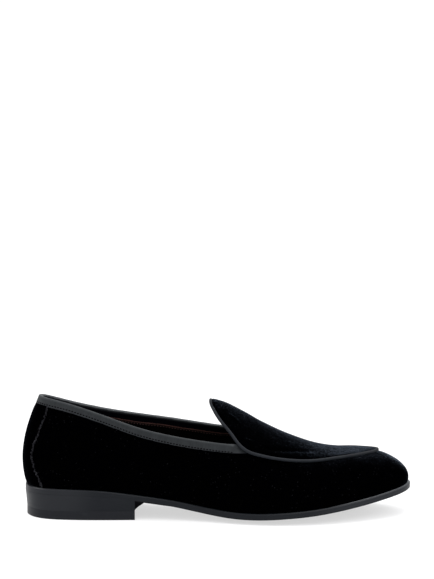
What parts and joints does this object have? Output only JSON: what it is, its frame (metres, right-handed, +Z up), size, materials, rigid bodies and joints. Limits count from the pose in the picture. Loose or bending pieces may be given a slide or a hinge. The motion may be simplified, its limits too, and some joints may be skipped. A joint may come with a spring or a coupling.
{
  "type": "velvet slipper loafer",
  "caption": "Right slipper loafer: hollow velvet upper with piped plug and tongue, bound collar, leather sole and low heel.",
  "frame": {"origin": "on the ground under the middle of the whole shoe", "axes": "+X towards the toe, +Z up, -Y towards the outer (lateral) side of the right foot"},
  "size_m": [0.297, 0.1012, 0.0915],
  "materials": {
    "velvet": "black cotton velvet with a short upright pile and a faint bluish sheen at grazing angles",
    "piping": "charcoal leather rolled round a cord, satin",
    "binding": "charcoal ribbed ribbon, folded over the edge and stitched along its lower side",
    "sock": "dark smooth lining leather, matte",
    "sole_leather": "sole leather with black waxed and burnished edges",
    "heel_rubber": "black hard rubber with a polished edge"
  },
  "bodies": {
    "root": {"upper": "velvet", "plug_tongue": "velvet", "back_strip": "velvet", "plug_piping": "piping", "collar_binding": "binding", "insole": "sock", "outsole": "sole_leather", "heel_stack": "sole_leather", "heel_top_piece": "heel_rubber"}
  },
  "joints": []
}
